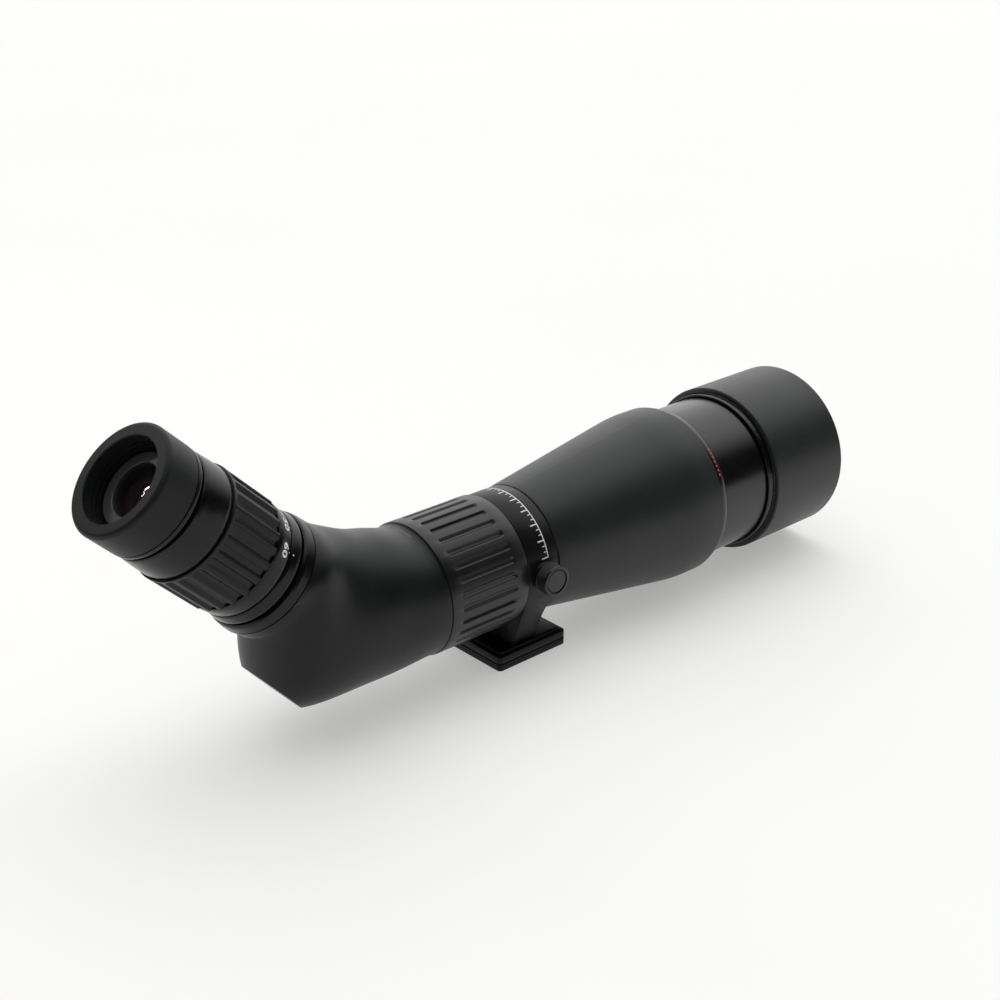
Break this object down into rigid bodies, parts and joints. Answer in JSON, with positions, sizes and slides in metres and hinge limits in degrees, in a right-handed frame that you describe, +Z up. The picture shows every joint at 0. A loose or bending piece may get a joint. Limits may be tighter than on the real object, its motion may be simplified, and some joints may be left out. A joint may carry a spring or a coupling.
{
  "type": "spotting scope",
  "caption": "Angled zoom spotting scope on a rotating tripod collar, with a body focusing ring, sliding sunshade and twist-up eyecup.",
  "frame": {"origin": "centre of the tripod thread, in the underside of the foot", "axes": "+Z up, +Y towards the objective, +X to the lock knob's side"},
  "size_m": [0.0982, 0.4614, 0.1771],
  "materials": {
    "soft_touch_black": "matte soft-touch coating",
    "satin_black": "satin black anodised",
    "ribbed_rubber": "matte ribbed rubber",
    "inner_black": "flat black anodised",
    "bearing_plastic": "self-lubricating black plastic",
    "seal_rubber": "smooth nitrile",
    "felt": "dense black felt",
    "steel": "turned steel",
    "coated_glass": "polished, anti-reflection coated"
  },
  "bodies": {
    "mount": {"collar": "soft_touch_black", "collar_liner": "bearing_plastic", "foot_plate": "satin_black", "foot_screws": "steel", "thread_insert": "steel", "lock_shoe": "bearing_plastic"},
    "lock": {"lock_knob": "satin_black", "lock_screw": "steel"},
    "scope": {"body_tube": "inner_black", "front_housing": "soft_touch_black", "objective_barrel": "satin_black", "trim_ring": "satin_black", "barrel_stop_ring": "satin_black", "objective_cell": "inner_black", "objective_rear_lens": "coated_glass", "objective_spacer": "inner_black", "objective_front_lens": "coated_glass", "objective_retainer": "inner_black", "prism_housing": "soft_touch_black", "prism_cradle": "inner_black", "roof_prism": "coated_glass", "prism_strap": "steel", "cradle_screws": "steel", "eyepiece_tube": "inner_black", "eyepiece_flange": "satin_black", "index_ring": "satin_black", "field_stop": "inner_black", "eyepiece_sleeve": "satin_black", "eye_lens_inner": "coated_glass", "eye_lens_spacer": "inner_black", "eye_lens_outer": "coated_glass", "eye_lens_retainer": "satin_black"},
    "focus": {"focus_ring": "ribbed_rubber", "focus_core": "inner_black", "focus_seals": "seal_rubber"},
    "focus_lens": {"focus_carriage": "inner_black", "focus_lens_front": "coated_glass", "focus_lens_rear": "coated_glass", "focus_lens_retainer": "inner_black", "focus_pins": "steel"},
    "shade": {"sunshade": "soft_touch_black", "sunshade_guide": "satin_black", "sunshade_felt": "felt"},
    "zoom": {"zoom_ring": "ribbed_rubber", "zoom_core": "inner_black", "scale_ring": "satin_black"},
    "zoom_front": {"zoom_front_cell": "inner_black", "zoom_front_lens": "coated_glass", "zoom_front_pin": "steel"},
    "zoom_rear": {"zoom_rear_cell": "inner_black", "zoom_rear_lens": "coated_glass", "zoom_rear_pin": "steel"},
    "eyecup_lift": {"eyecup_carrier": "bearing_plastic", "eyecup_guide_pins": "steel"},
    "eyecup": {"eyecup": "ribbed_rubber", "eyecup_core": "inner_black", "eyecup_band": "satin_black"}
  },
  "joints": [
    {"name": "collar_turn", "type": "hinge", "parent": "mount", "child": "scope", "pos_m": [0, 0, 0.0522], "axis": [0, 1, 0], "continuous": true},
    {"name": "lock_turn", "type": "hinge", "parent": "mount", "child": "lock", "pos_m": [0.04, 0, 0.0522], "axis": [1, 0, 0], "range_deg": [0, 360]},
    {"name": "focus_turn", "type": "hinge", "parent": "scope", "child": "focus", "pos_m": [0, -0.0365, 0.0522], "axis": [0, 1, 0], "range_deg": [-270, 270]},
    {"name": "focus_slide", "type": "slide", "parent": "scope", "child": "focus_lens", "axis": [0, 1, 0], "range_m": [-0.0076, 0.0076]},
    {"name": "sunshade_slide", "type": "slide", "parent": "scope", "child": "shade", "axis": [0, 1, 0], "range_m": [-0.036, 0]},
    {"name": "zoom_turn", "type": "hinge", "parent": "scope", "child": "zoom", "pos_m": [0, -0.17254, 0.11584], "axis": [0, 0.7071, -0.7071], "range_deg": [0, 140]},
    {"name": "zoom_front_slide", "type": "slide", "parent": "scope", "child": "zoom_front", "axis": [0, -0.7071, 0.7071], "range_m": [0, 0.0081]},
    {"name": "zoom_rear_slide", "type": "slide", "parent": "scope", "child": "zoom_rear", "axis": [0, -0.7071, 0.7071], "range_m": [-0.0071, 0]},
    {"name": "eyecup_twist", "type": "hinge", "parent": "eyecup_lift", "child": "eyecup", "pos_m": [0, -0.20082, 0.14412], "axis": [0, -0.7071, 0.7071], "range_deg": [0, 100]},
    {"name": "eyecup_rise", "type": "slide", "parent": "scope", "child": "eyecup_lift", "axis": [0, -0.7071, 0.7071], "range_m": [0, 0.0081]}
  ],
  "couplings": [
    {"joint": "focus_slide", "follows": "focus_turn", "m_per_rad": 0.0015915},
    {"joint": "zoom_front_slide", "follows": "zoom_turn", "m_per_rad": 0.003274},
    {"joint": "zoom_rear_slide", "follows": "zoom_turn", "m_per_rad": -0.0028648},
    {"joint": "eyecup_rise", "follows": "eyecup_twist", "m_per_rad": 0.0045837}
  ]
}
